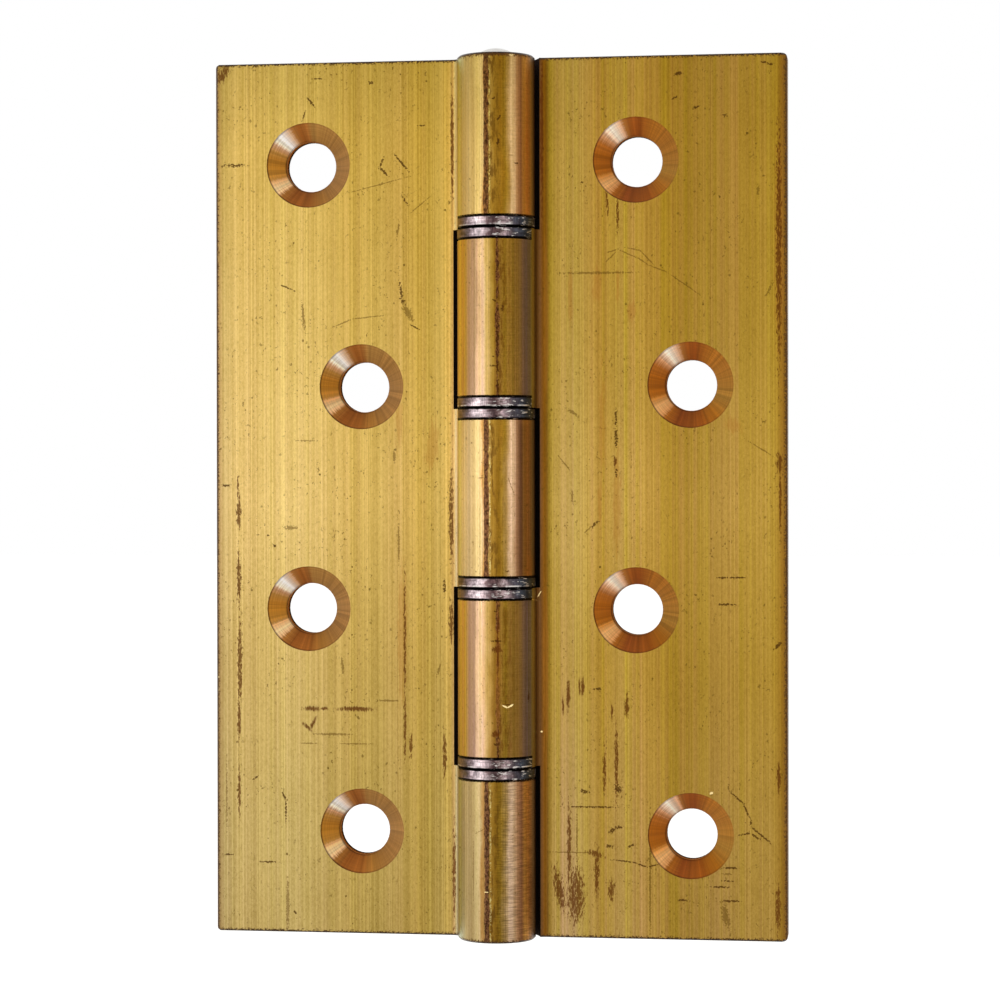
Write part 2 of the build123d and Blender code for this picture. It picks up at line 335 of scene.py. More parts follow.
class Bar(NamedTuple):
    """What differs between the two leaves, which were cut from bars drawn by different dies, and the painted
    light that makes one look lit and the other shaded.
    """

    # The name of the leaf's material: the left one is painted as lit and the right one as shaded.
    brass: str
    # -1 for the leaf towards -X and 1 for the one towards +X.
    side: int
    # Distances of the screw holes from the pin, the lowest hole's first.
    columns: tuple
    across: list
    upward: list
    around: list
    cone_reflection: list
    marks: tuple
    # Where the seam is down the knuckles, in degrees, and its least and most half width, in radians.
    seam_at: float
    seam_width: tuple
    # Cover of the yellow flecks beside the seam, and how much the lines vary in brightness and in hue.
    fleck_cover: float
    line_level: float
    hue_level: float


LEFT_BAR = Bar(
    brass="Extruded brass, painted lit",
    side=-1,
    columns=(INNER_COLUMN, OUTER_COLUMN),
    across=LEFT_ACROSS,
    upward=LEFT_UP,
    around=LEFT_ROUND,
    cone_reflection=LEFT_SHEEN,
    marks=(LEFT_TINTS, LEFT_STAINS, LEFT_SMUDGES, LEFT_HAIRLINES, LEFT_NICKS, LEFT_CHIP_GLINTS),
    seam_at=-8,
    seam_width=(0.05, 0.1),
    fleck_cover=0.8,
    line_level=0.85,
    hue_level=0.35,
)
RIGHT_BAR = Bar(
    brass="Extruded brass, painted shaded",
    side=1,
    columns=(OUTER_COLUMN, INNER_COLUMN),
    across=RIGHT_ACROSS,
    upward=RIGHT_UP,
    around=RIGHT_ROUND,
    cone_reflection=RIGHT_SHEEN,
    marks=(RIGHT_TINTS, RIGHT_STAINS, RIGHT_SMUDGES, RIGHT_HAIRLINES, RIGHT_NICKS, RIGHT_CHIP_GLINTS),
    seam_at=9,
    seam_width=(0.0, 0.08),
    fleck_cover=0.0,
    line_level=0.75,
    hue_level=1.6,
)


def along(stops, start, end):
    """Ramp stops carried from start..end in millimetres or degrees to 0..1, in rising order."""
    return sorted(((at - start) / (end - start), colour) for at, colour in stops)


def screw_hole_place(tree, point, bar):
    """Distance from the nearest screw hole's axis, the angle round it from +X, and the hole's row.

    The rows are evenly spaced, so the height is folded into one row, and the column changes by row.
    """
    even, odd = (bar.side * column for column in bar.columns)
    up = add(tree, "Math", point.z, LOW_HOLE, operation="SUBTRACT")
    folded = add(tree, "Math", up, HOLE_PITCH / 2, -HOLE_PITCH / 2, operation="WRAP")
    row = add(tree, "Math", up, 1 / HOLE_PITCH, 0.5, operation="MULTIPLY_ADD")
    is_odd = add(tree, "Math", add(tree, "Math", row, operation="FLOOR"), 2.0, operation="MODULO")
    column = add(tree, "Math", is_odd, odd - even, even, operation="MULTIPLY_ADD")
    off = add(tree, "Math", point.x, column, operation="SUBTRACT")
    away = add(tree, "VectorMath", add(tree, "CombineXYZ", off, folded), out="Value", operation="LENGTH")
    turn = add(tree, "Math", folded, off, operation="ARCTAN2")
    return away, turn, add(tree, "Math", row, operation="FLOOR")


def countersink(tree, y, away, turn, row, sheen):
    """Cutter-turned brass: a reddish cone of painted reflection with painted highlight wedges, chatter, and a
    painted shade line at each edge.

    Returns its colour, its rings, and 1 inside the drilled hole.
    """
    where = add(tree, "Math", away, RINGS_PER_MM, operation="MULTIPLY")
    rings = add(tree, "TexNoise", sockets={"W": where, "Scale": 1.0, "Detail": 2.0}, noise_dimensions="1D")
    # Every row gets its own chatter and its own turn of the wedges, from a number that steps with the row.
    where = add(tree, "Math", row, 5.3, turn, operation="MULTIPLY_ADD")
    chatter = {"W": where, "Scale": 7.0, "Detail": 4.0, "Roughness": 0.7}
    chatter = add(tree, "TexNoise", sockets=chatter, noise_dimensions="1D")
    where = add(tree, "Math", row, 3.7, operation="MULTIPLY")
    swing = add(tree, "TexNoise", sockets={"W": where, "Scale": 1.0}, noise_dimensions="1D")
    ringed = add(tree, "Math", rings, 0.12, turn, operation="MULTIPLY_ADD")
    swing = add(tree, "MapRange", swing, 0.3, 0.7, -0.16, 0.04)
    shift = add(tree, "Math", ringed, swing, operation="ADD")
    turned = add(tree, "MapRange", shift, -np.pi, np.pi)
    colour = add(tree, "ValToRGB", turned, stops=along(sheen, -180, 180))
    streaks = add(tree, "MapRange", chatter, 0.3, 0.7, 0.78, 1.22)
    colour = add(tree, "VectorMath", colour, operation="SCALE", sockets={"Scale": streaks})
    dull = add(tree, "MapRange", rings, 0.35, 0.65, 0.0, 0.2)
    colour = add(tree, "Mix", dull, sockets={UNDER: colour, OVER: linear("7a4a24")}, **COLOURS)

    inner = add(tree, "Math", away, HOLE_RADIUS + 0.08, operation="SUBTRACT")
    outer = add(tree, "Math", away, COUNTERSINK_RADIUS - 0.05, operation="SUBTRACT")
    inner = add(tree, "Math", inner, operation="ABSOLUTE")
    outer = add(tree, "Math", outer, operation="ABSOLUTE")
    from_edge = add(tree, "Math", inner, outer, operation="MINIMUM")
    line = add(tree, "MapRange", from_edge, 0.03, 0.14, 0.8, 0.0)
    # The painted shade line is darkest at the left, 0.4 radians below -X, and gone at the right.
    leftward = add(tree, "Math", turn, -0.4, operation="ADD")
    leftward = add(tree, "Math", leftward, operation="COSINE")
    leftward = add(tree, "Math", leftward, -0.5, 0.45, operation="MULTIPLY_ADD")
    leftward = add(tree, "Math", leftward, 0.0, operation="MAXIMUM")
    line = add(tree, "Math", line, leftward, operation="MULTIPLY")
    colour = add(tree, "Mix", line, sockets={UNDER: colour, OVER: linear("3c2012")}, **COLOURS)

    bore = add(tree, "Math", away, HOLE_RADIUS + 0.03, operation="LESS_THAN")
    # The bore's wall: brown near the face, and painted shade deeper in.
    deep = add(tree, "MapRange", y, BACK - 0.75, BACK - 0.6)
    wall = {UNDER: linear("a8703c"), OVER: linear("3a2414")}
    wall = add(tree, "Mix", deep, sockets=wall, **COLOURS)
    return add(tree, "Mix", bore, sockets={UNDER: colour, OVER: wall}, **COLOURS), rings, bore


def survey(tree):
    """Where the point is on a leaf, in millimetres, what it is a part of, and the noises of drawn brass."""
    point = SimpleNamespace(place=place_in_mm(tree))
    point.x, point.y, point.z = add(tree, "SeparateXYZ", point.place).node.outputs
    point.level = add(tree, "VectorMath", point.place, (1, 1, 0), operation="MULTIPLY")
    point.radius = add(tree, "VectorMath", point.level, out="Value", operation="LENGTH")
    # The object's own normal, because the world's would turn with the leaf.
    point.normal = add(tree, "TexCoord", out="Normal")
    upright = add(tree, "SeparateXYZ", point.normal, out="Z")
    point.facing_up = add(tree, "Math", upright, operation="ABSOLUTE")
    point.cut_end = add(tree, "Math", point.facing_up, 0.9, operation="GREATER_THAN")
    point.on_face = add(tree, "Math", point.y, FRONT + SKIN, operation="LESS_THAN")
    point.on_barrel = add(tree, "Math", point.radius, BARREL_RADIUS + 0.05, operation="LESS_THAN")
    # Fine and wide lines, broad streaks, grain that breaks them, soft patches, and lines of other hues.
    point.fine = blots(tree, point.place, (0.15, 0.15, 90), 1.0, 3)
    point.wide = blots(tree, point.place, (0.45, 0.45, 300), 2.0, 11)
    point.broad = blots(tree, point.place, (3.0, 3.0, 500), 2.0, 23)
    point.grit = blots(tree, point.place, (0.2, 0.2, 0.36), 3.0, 7, 0.75)
    point.patch = blots(tree, point.place, (4.0, 4.0, 9.0), 3.0, 5)
    point.hues = blots(tree, point.place, (0.7, 0.7, 200), 2.0, 29)
    return point


def drawing_lines(tree, point, bar, strength):
    """The die's lines as a brightness about 0, and as a tint for the brass.

    They are 0.2 to 0.6 mm apart, and more of them are bright than dark. A bright line is a little whiter
    than the brass beside it, and some are pinker or greener.
    """
    bright = add(tree, "MapRange", point.fine, 0.5, 0.68, -0.4, 2.9)
    dark = add(tree, "MapRange", point.fine, 0.5, 0.34, 0.0, -1.2)
    sheen = add(tree, "Math", bright, dark, operation="ADD")
    wide = add(tree, "MapRange", point.wide, 0.3, 0.7, -1.2, 1.2)
    sheen = add(tree, "Math", wide, sheen, operation="ADD")
    sheen = add(tree, "Math", sheen, bar.line_level, operation="MULTIPLY")
    for noise, swing in ((point.broad, 0.7), (point.grit, 1.8), (point.patch, 0.6)):
        uneven = add(tree, "MapRange", noise, 0.3, 0.7, -swing, swing)
        sheen = add(tree, "Math", uneven, sheen, operation="ADD")
    whiter = (strength, strength * 1.1, strength * 1.7)
    pale = add(tree, "CombineXYZ", sheen, sheen, sheen)
    pale = add(tree, "VectorMath", pale, whiter, (1, 1, 1), operation="MULTIPLY_ADD")
    hues = add(tree, "MapRange", point.hues, 0.3, 0.7, -bar.hue_level, bar.hue_level)
    hues = add(tree, "CombineXYZ", hues, hues, hues)
    hues = add(tree, "VectorMath", hues, (0.018, -0.018, 0.2), (1, 1, 1), operation="MULTIPLY_ADD")
    return sheen, add(tree, "VectorMath", pale, hues, operation="MULTIPLY")


def face_tone(tree, point, bar):
    """Painted reflection bands across a leaf, with a painted highlight at the left leaf's root and painted
    shade at the right one's. The back is one flat face, with no root beside the barrel.
    """
    outward = add(tree, "Math", point.x, bar.side / REACH, operation="MULTIPLY")
    plain = add(tree, "Math", point.y, BACK - SKIN, operation="GREATER_THAN")
    plain = add(tree, "Math", plain, ROOT_REACH / REACH, operation="MULTIPLY")
    outward = add(tree, "Math", outward, plain, operation="MAXIMUM")
    return add(tree, "ValToRGB", outward, stops=along(bar.across, 0, REACH))


def seam(tree, point, bar, angle, wander, bands):
    """The dark line down each knuckle, with brown smears and yellow flecks.

    Its left edge is straight and its right edge ragged, and both follow the noise called wander a little.
    Smears and flecks lie to its right.
    """
    beside = add(tree, "Math", wander, 0.05, angle, operation="MULTIPLY_ADD")
    beside = add(tree, "Math", beside, np.radians(bar.seam_at) + 0.025, operation="SUBTRACT")
    to_right = add(tree, "Math", beside, 0.0, operation="MAXIMUM")
    to_left = add(tree, "Math", beside, -1.6, operation="MULTIPLY")
    from_line = add(tree, "Math", to_right, to_left, operation="MAXIMUM")
    least, most = bar.seam_width
    thick = blots(tree, point.place, (3, 3, 2.2), 5.0, 17, 0.75)
    thick = add(tree, "MapRange", thick, 0.36, 0.64, least, most)
    line = add(tree, "Math", from_line, thick, operation="SUBTRACT")
    line = add(tree, "MapRange", line, -0.005, 0.015, 0.9, 0.0)

    smear = blots(tree, point.place, (0.45, 0.45, 1.9), 4.0, 41, 0.65)
    smear = add(tree, "MapRange", smear, 0.5, 0.58, 0.0, 0.75)
    fading = add(tree, "MapRange", beside, 0.15, 0.6, 1.0, 0.0)
    near = add(tree, "Math", fading, add(tree, "MapRange", beside, -0.05, 0.05), operation="MULTIPLY")
    smear = add(tree, "Math", smear, near, operation="MULTIPLY")
    bands = add(tree, "Mix", smear, sockets={UNDER: bands, OVER: linear("704814")}, **COLOURS)
    mark_colour = add(tree, "ValToRGB", point.grit, stops=[(0.36, "200c0c"), (0.5, "6a3e28"), (0.64, "9c6a3c")])
    bands = add(tree, "Mix", line, sockets={UNDER: bands, OVER: mark_colour}, **COLOURS)
    fleck = add(tree, "Math", beside, most + 0.01, 0.02, operation="COMPARE")
    broken = add(tree, "MapRange", point.grit, 0.5, 0.57, 0.0, bar.fleck_cover)
    fleck = add(tree, "Math", fleck, broken, operation="MULTIPLY")
    return add(tree, "Mix", fleck, sockets={UNDER: bands, OVER: linear("f4dc7c")}, **COLOURS)


def knuckle_tone(tree, point, bar):
    """Painted reflection bands round the knuckles, their seam, and what differs from knuckle to knuckle."""
    wander = blots(tree, point.place, (2.5, 2.5, 0.7), 5.0, 31, 0.75)
    drift = blots(tree, point.place, (2.5, 2.5, 8.0), 3.0, 37, 0.6)
    forward = add(tree, "Math", point.y, -1.0, operation="MULTIPLY")
    angle = add(tree, "Math", point.x, forward, operation="ARCTAN2")
    # In front, the bands' edges drift, and they turn by some 8 degrees from the lower end to the upper.
    drift = add(tree, "Math", drift, 0.5, operation="SUBTRACT")
    turned = add(tree, "Math", drift, 0.35, angle, operation="MULTIPLY_ADD")
    lean = add(tree, "Math", point.z, -0.0013, 0.104, operation="MULTIPLY_ADD")
    turned = add(tree, "Math", lean, turned, operation="ADD")
    beyond = add(tree, "MapRange", add(tree, "Math", angle, operation="ABSOLUTE"), 0.35, 0.8)
    turned = add(tree, "Mix", beyond, sockets={LOW: turned, HIGH: angle})
    turned = add(tree, "MapRange", turned, -np.pi, np.pi)
    bands = add(tree, "ValToRGB", turned, stops=along(bar.around, -180, 180))
    bands = seam(tree, point, bar, angle, wander, bands)
    # On the knuckles' right side, the middle of the barrel is darker and its ends a little lighter, and the
    # lowest knuckle has fine file marks.
    far_right = add(tree, "MapRange", angle, 0.6, 0.8)
    off_middle = add(tree, "Math", point.z, LENGTH / 2, operation="SUBTRACT")
    off_middle = add(tree, "Math", off_middle, operation="ABSOLUTE")
    right_side_scale = add(tree, "MapRange", off_middle, 8.0, 13.0, -0.48, 0.15)
    right_side_scale = add(tree, "Math", far_right, right_side_scale, 1.0, operation="MULTIPLY_ADD")
    bands = add(tree, "VectorMath", bands, operation="SCALE", sockets={"Scale": right_side_scale})
    filed = add(tree, "MapRange", blots(tree, point.place, (1.1, 1.1, 0.11), 2.0, 53), 0.35, 0.65, -0.3, 0.3)
    filed = add(tree, "Math", filed, add(tree, "MapRange", angle, 0.0, 0.25), operation="MULTIPLY")
    lowest = add(tree, "MapRange", point.z, 22.0, 17.0, 0.3, 1.0)
    filed = add(tree, "Math", filed, lowest, 1.0, operation="MULTIPLY_ADD")
    return add(tree, "VectorMath", bands, operation="SCALE", sockets={"Scale": filed})


def specks(tree, point):
    """Cover of specks a tenth or two of a millimetre across, in swarms: round dots and ragged flecks."""
    spread = add(tree, "VectorMath", point.place, (1.0, 0, 0.9), operation="MULTIPLY")
    cell = add(tree, "TexVoronoi", spread, sockets={"Scale": 1.0}).node
    luck = add(tree, "SeparateXYZ", cell.outputs["Color"]).node.outputs
    size = add(tree, "MapRange", luck["X"], 0.3, 1.0, 0.03, 0.17)
    off = add(tree, "Math", point.grit, 0.5, operation="SUBTRACT")
    away = add(tree, "Math", off, 0.25, cell.outputs["Distance"], operation="MULTIPLY_ADD")
    dots = add(tree, "MapRange", add(tree, "Math", size, away, operation="SUBTRACT"), 0.0, 0.04)
    darkness = add(tree, "MapRange", luck["Y"], 0.0, 1.0, 0.25, 0.85)
    dots = add(tree, "Math", dots, darkness, operation="MULTIPLY")
    flecks = blots(tree, point.place, (0.32, 0.32, 0.42), 2.0, 47, 0.6)
    flecks = add(tree, "MapRange", flecks, 0.63, 0.71, 0.0, 0.7)
    both = add(tree, "Math", dots, flecks, operation="MAXIMUM")
    swarm = add(tree, "MapRange", blots(tree, point.place, (5, 5, 5), 3.0, 51), 0.4, 0.6, 0.15, 1.0)
    return add(tree, "Math", both, swarm, operation="MULTIPLY")


def outer_edge(tree, point, dotted):
    """Cover of the dark line along a leaf's outline in front, tarnished and partly painted shade, thicker
    round the barrel's top end.
    """
    from_top = add(tree, "Math", LENGTH, point.z, operation="SUBTRACT")
    from_end = add(tree, "Math", point.z, from_top, operation="MINIMUM")
    outward = add(tree, "Math", point.x, operation="ABSOLUTE")
    from_side = add(tree, "Math", REACH, outward, operation="SUBTRACT")
    away = add(tree, "Math", from_end, from_side, operation="MINIMUM")
    off = add(tree, "Math", dotted, 0.5, operation="SUBTRACT")
    away = add(tree, "Math", off, 0.9, away, operation="MULTIPLY_ADD")
    upper_half = add(tree, "Math", point.z, LENGTH / 2, operation="GREATER_THAN")
    barrel_top = add(tree, "Math", upper_half, point.on_barrel, operation="MULTIPLY")
    away = add(tree, "Math", barrel_top, -0.14, away, operation="MULTIPLY_ADD")
    cover = add(tree, "MapRange", away, 0.16, 0.36, 0.95, 0.0)
    before_back = add(tree, "Math", point.y, BACK - SKIN, operation="LESS_THAN")
    return add(tree, "Math", cover, before_back, operation="MULTIPLY")


def outsides(tree, point, dotted, colour, tarnish_and_shade):
    """Lays brown over the sawn ends, with the saw's marks across the bar, and over the outer sides.

    Those have the die's lines. The small bevels round the ends are painted shade, nearly black, with breaks.
    """
    sawn = blots(tree, point.place, (9.0, 0.16, 9.0), 3.0, 81, 0.65)
    lined = blots(tree, point.place, (0.2, 0.2, 60.0), 3.0, 83, 0.65)
    bare = add(tree, "Mix", point.cut_end, sockets={LOW: lined, HIGH: sawn})
    off = add(tree, "Math", point.patch, 0.5, operation="SUBTRACT")
    bare = add(tree, "Math", off, 0.8, bare, operation="MULTIPLY_ADD")
    bare = add(tree, "MapRange", bare, 0.4, 0.65, 0.0, 0.7)
    brown = add(tree, "Mix", bare, sockets={UNDER: tarnish_and_shade, OVER: linear("a0783c")}, **COLOURS)
    bevel = add(tree, "Math", point.facing_up, 0.7, 0.2, operation="COMPARE")
    broken = add(tree, "MapRange", dotted, 0.45, 0.6, 0.95, 0.2)
    bevel = add(tree, "Math", bevel, broken, operation="MULTIPLY")
    colour = add(tree, "Mix", bevel, sockets={UNDER: colour, OVER: linear("20140a")}, **COLOURS)
    outward = add(tree, "Math", point.x, operation="ABSOLUTE")
    outer_side = add(tree, "Math", outward, REACH - 0.02, operation="GREATER_THAN")
    outside = add(tree, "Math", outer_side, point.cut_end, operation="MAXIMUM")
    return add(tree, "Mix", outside, sockets={UNDER: colour, OVER: brown}, **COLOURS)


def drawn_brass(bar, finish):
    """Extruded brass, drawn through a die, which leaves fine straight lines along the bar.

    The lines scatter light sideways, so both faces show soft upright streaks; the upright bands on the
    faces and round each knuckle are painted reflections. Tarnished brown gathers along edges, in the roots,
    in stains and where knuckles rub; along the edges and in the right leaf's root it is partly painted
    shade, and the left leaf's root has a painted highlight.
    """
    material = bpy.data.materials.new(bar.brass)
    tree = emptied(material)
    point = survey(tree)
    sheen, pale = drawing_lines(tree, point, bar, finish.line_strength)
    colour = face_tone(tree, point, bar)
    bands = knuckle_tone(tree, point, bar)
    colour = add(tree, "Mix", point.on_barrel, sockets={UNDER: colour, OVER: bands}, **COLOURS)
    height = add(tree, "Math", point.z, 1 / LENGTH, operation="MULTIPLY")
    by_height = add(tree, "ValToRGB", height, stops=along(bar.upward, 0, LENGTH))
    colour = add(tree, "VectorMath", colour, by_height, operation="MULTIPLY")
    colour = add(tree, "VectorMath", colour, pale, operation="MULTIPLY")
    speck = specks(tree, point)
    colour = add(tree, "Mix", speck, sockets={UNDER: colour, OVER: linear("58400f")}, **COLOURS)

    # Wear, and painted glints on chips, read from the photograph, on the front only.
    noises = {
        "streaky": blots(tree, point.place, (0.14, 0.14, 1.4), 2.0, 61),
        "brushed": blots(tree, point.place, (0.18, 0.18, 0.6), 4.0, 67, 0.7),
        "dotted": blots(tree, point.place, (0.2, 0.2, 0.2), 1.0, 71),
    }
    for spots, (noise, mark_colour, *numbers) in zip(bar.marks, KINDS_OF_WEAR_AND_GLINT):
        mark = wear_and_glint_cover(tree, point.place, spots, noises[noise], *numbers)
        mark = add(tree, "Math", mark, point.on_face, operation="MULTIPLY")
        colour = add(tree, "Mix", mark, sockets={UNDER: colour, OVER: linear(mark_colour)}, **COLOURS)

    tarnish_and_shade = (*finish.tarnish_and_shade, 1.0)
    edge = outer_edge(tree, point, noises["dotted"])
    colour = add(tree, "Mix", edge, sockets={UNDER: colour, OVER: tarnish_and_shade}, **COLOURS)
    colour = outsides(tree, point, noises["dotted"], colour, tarnish_and_shade)
    # Painted shade on the walls of the notches that the other leaf's knuckles fill: near the pin, and facing
    # it.
    outward = add(tree, "VectorMath", point.level, operation="NORMALIZE")
    outward = add(tree, "VectorMath", outward, point.normal, out="Value", operation="DOT_PRODUCT")
    facing_pin = add(tree, "Math", outward, -0.4, operation="LESS_THAN")
    near_pin = add(tree, "Math", point.radius, NOTCH_REACH, operation="LESS_THAN")
    notch = add(tree, "Math", facing_pin, near_pin, operation="MULTIPLY")
    colour = add(tree, "Mix", notch, sockets={UNDER: colour, OVER: linear("403632")}, **COLOURS)

    away, turn, row = screw_hole_place(tree, point, bar)
    sunk = add(tree, "Math", away, COUNTERSINK_RADIUS + 0.01, operation="LESS_THAN")
    behind_face = add(tree, "Math", point.y, FRONT + 0.004, operation="GREATER_THAN")
    before_back = add(tree, "Math", point.y, BACK - 0.02, operation="LESS_THAN")
    inside = add(tree, "Math", behind_face, before_back, operation="MULTIPLY")
    sunk = add(tree, "Math", sunk, inside, operation="MULTIPLY")
    turned_brass, rings, bore = countersink(tree, point.y, away, turn, row, bar.cone_reflection)
    bore = add(tree, "Math", bore, sunk, operation="MULTIPLY")
    colour = add(tree, "Mix", sunk, sockets={UNDER: colour, OVER: turned_brass}, **COLOURS)

    rough = add(tree, "MapRange", sheen, -1.5, 1.5, finish.roughness + 0.06, finish.roughness - 0.06)
    for where, roughness in ((point.on_barrel, 0.3), (sunk, 0.5), (notch, 0.8)):
        rough = add(tree, "Mix", where, sockets={LOW: rough, HIGH: roughness})
    relief = add(tree, "Mix", sunk, sockets={LOW: sheen, HIGH: rings})
    bump = add(tree, "Bump", sockets={"Strength": 0.3, "Distance": 0.00001, "Height": relief})
    # Painted shade in the bores and notches, which don't brighten at a glancing angle as clean metal does.
    shaded_hollows = add(tree, "Math", bore, notch, operation="MAXIMUM")
    glancing = {UNDER: (1, 1, 1, 1), OVER: linear("3c3026")}
    glancing = add(tree, "Mix", shaded_hollows, sockets=glancing, **COLOURS)
    looks = {"Base Color": colour, "Roughness": rough, "Normal": bump, "Metallic": 1.0}
    looks["Specular Tint"] = glancing
    add(tree, "OutputMaterial", add(tree, "BsdfPrincipled", sockets=looks))
    return material


def turned_steel(finish):
    """Mild steel washers, turned and never polished: dull, dark, with fine marks running round their edges.

    The height is folded by the spacing of the joints, so one material serves every pair. The upper
    washer's lower corner has a painted highlight, and the other corners and the flat sides have painted
    shade.
    """
    material = bpy.data.materials.new("Turned mild steel")
    tree = emptied(material)
    place = place_in_mm(tree)
    x, y, z = add(tree, "SeparateXYZ", place).node.outputs
    up = add(tree, "Math", z, LOW_JOINT, operation="SUBTRACT")
    level = add(tree, "Math", up, JOINT_PITCH / 2, -JOINT_PITCH / 2, operation="WRAP")
    marks = blots(tree, place, (2.5, 2.5, 0.13), 2.0, 2, 0.6)
    patch = blots(tree, place, (1.3, 1.3, 0.8), 4.0, 9, 0.65)
    off = add(tree, "Math", patch, 0.5, operation="SUBTRACT")
    shift = add(tree, "Math", off, 3.0, x, operation="MULTIPLY_ADD")
    shift = add(tree, "MapRange", shift, -BARREL_RADIUS, BARREL_RADIUS)
    colour = add(tree, "ValToRGB", shift, stops=along(WASHER_TONES, -BARREL_RADIUS, BARREL_RADIUS))
    hatch = blots(tree, place, (0.14, 0.14, 0.6), 2.0, 13, 0.6)
    patchy = add(tree, "MapRange", patch, 0.35, 0.65, 0.55, 1.4)
    uneven = add(tree, "Math", patchy, add(tree, "MapRange", marks, 0.3, 0.7, 0.7, 1.3), operation="MULTIPLY")
    uneven = add(tree, "Math", uneven, add(tree, "MapRange", hatch, 0.3, 0.7, 0.6, 1.4), operation="MULTIPLY")
    colour = add(tree, "VectorMath", colour, operation="SCALE", sockets={"Scale": uneven})
    # Painted shade on the corners, at the joint and at the knuckle, and on the flat sides.
    ragged = add(tree, "Math", off, 0.3, operation="MULTIPLY")
    from_joint = add(tree, "Math", add(tree, "Math", level, operation="ABSOLUTE"), ragged, operation="ADD")
    near_joint = add(tree, "MapRange", from_joint, 0.17, 0.23, 0.95, 0.0)
    near_knuckle = add(tree, "MapRange", from_joint, 1.08, 1.15, 0.0, 0.9)
    dark = add(tree, "Math", near_joint, near_knuckle, operation="MAXIMUM")
    flat = add(tree, "SeparateXYZ", add(tree, "TexCoord", out="Normal"), out="Z")
    flat = add(tree, "Math", add(tree, "Math", flat, operation="ABSOLUTE"), 0.6, operation="GREATER_THAN")
    dark = add(tree, "Math", dark, flat, operation="MAXIMUM")
    colour = add(tree, "Mix", dark, sockets={UNDER: colour, OVER: linear("100c0e")}, **COLOURS)
    # Painted highlight along the upper washer's lower corner, and painted glints on the right.
    corner_highlight = add(tree, "Math", level, 0.27, operation="SUBTRACT")
    corner_highlight = add(tree, "MapRange", add(tree, "Math", corner_highlight, operation="ABSOLUTE"), 0.03, 0.1, 0.9, 0.0)
    where = add(tree, "MapRange", blots(tree, place, (1.4, 1.4, 4.0), 3.0, 19), 0.48, 0.6)
    corner_highlight = add(tree, "Math", corner_highlight, where, operation="MULTIPLY")
    right_glints = add(tree, "MapRange", blots(tree, place, (0.8, 0.8, 0.22), 2.0, 27, 0.6), 0.59, 0.64, 0.0, 0.7)
    right_glints = add(tree, "Math", right_glints, add(tree, "MapRange", x, -0.5, 0.5), operation="MULTIPLY")
    bright = add(tree, "Math", corner_highlight, right_glints, operation="MAXIMUM")
    colour = add(tree, "Mix", bright, sockets={UNDER: colour, OVER: linear("d8d2cc")}, **COLOURS)
    bump = add(tree, "Bump", sockets={"Strength": 0.4, "Distance": 0.00002, "Height": marks})
    looks = {"Base Color": colour, "Roughness": finish.washer_roughness, "Normal": bump, "Metallic": 1.0}
    add(tree, "OutputMaterial", add(tree, "BsdfPrincipled", sockets=looks))
    return material


def bright_steel(finish):
    """Drawn steel pin: its turned, domed end is bright with fine rings, and the shank is dark."""
    material = bpy.data.materials.new("Bright drawn steel")
    tree = emptied(material)
    place = place_in_mm(tree)
    z = add(tree, "SeparateXYZ", place, out="Z")
    level = add(tree, "VectorMath", place, (1, 1, 0), operation="MULTIPLY")
    radius = add(tree, "VectorMath", level, out="Value", operation="LENGTH")
    where = add(tree, "Math", radius, RINGS_PER_MM, operation="MULTIPLY")
    rings = add(tree, "TexNoise", sockets={"W": where, "Scale": 1.0, "Detail": 3.0}, noise_dimensions="1D")
    ring = add(tree, "MapRange", rings, 0.35, 0.65, 0.0, 0.5)
    steel = {UNDER: (*finish.pin_colour, 1.0), OVER: linear("aaa69e")}
    colour = add(tree, "Mix", ring, sockets=steel, **COLOURS)
    stain = add(tree, "MapRange", blots(tree, place, (0.8, 0.8, 0.8), 3.0, 4), 0.55, 0.75, 0.0, 0.5)
    colour = add(tree, "Mix", stain, sockets={UNDER: colour, OVER: linear("7c7062")}, **COLOURS)
    upper_end = add(tree, "MapRange", z, LENGTH - 0.4, LENGTH - 0.1)
    ends = add(tree, "Math", upper_end, add(tree, "MapRange", z, 0.3, 0.1), operation="MAXIMUM")
    colour = add(tree, "Mix", ends, sockets={UNDER: linear("1a1614"), OVER: colour}, **COLOURS)
    bump = add(tree, "Bump", sockets={"Strength": 0.3, "Distance": 0.00002, "Height": rings})
    looks = {"Base Color": colour, "Roughness": 0.35, "Normal": bump, "Metallic": 1.0}
    add(tree, "OutputMaterial", add(tree, "BsdfPrincipled", sockets=looks))
    return material


class BrassFinish(bpy.types.PropertyGroup):
    """How both leaves are finished."""

    # Its brown is also the painted shade along the leaves' outlines.
    tarnish_and_shade: FloatVectorProperty(
        name="Tarnish", description="Brown that gathers along edges and on sawn ends",
        subtype="COLOR", min=0, max=1, default=linear("4e3418"),
    )
    line_strength: FloatProperty(
        name="Drawing lines", description="How strongly the drawing lines show",
        subtype="FACTOR", min=0, max=0.3, default=0.065,
    )
    roughness: FloatProperty(
        name="Roughness", description="How widely the drawn faces scatter light",
        subtype="FACTOR", min=0.1, max=0.9, default=0.42,
    )


class SteelFinish(bpy.types.PropertyGroup):
    """How the washers and the pin are finished."""

    washer_roughness: FloatProperty(
        name="Washer roughness", description="How dull the washers are",
        subtype="FACTOR", min=0.1, max=0.9, default=0.45,
    )
    pin_colour: FloatVectorProperty(
        name="Pin colour", description="Colour of the pin's end",
        subtype="COLOR", min=0, max=1, default=linear("e2e0dc"),
    )


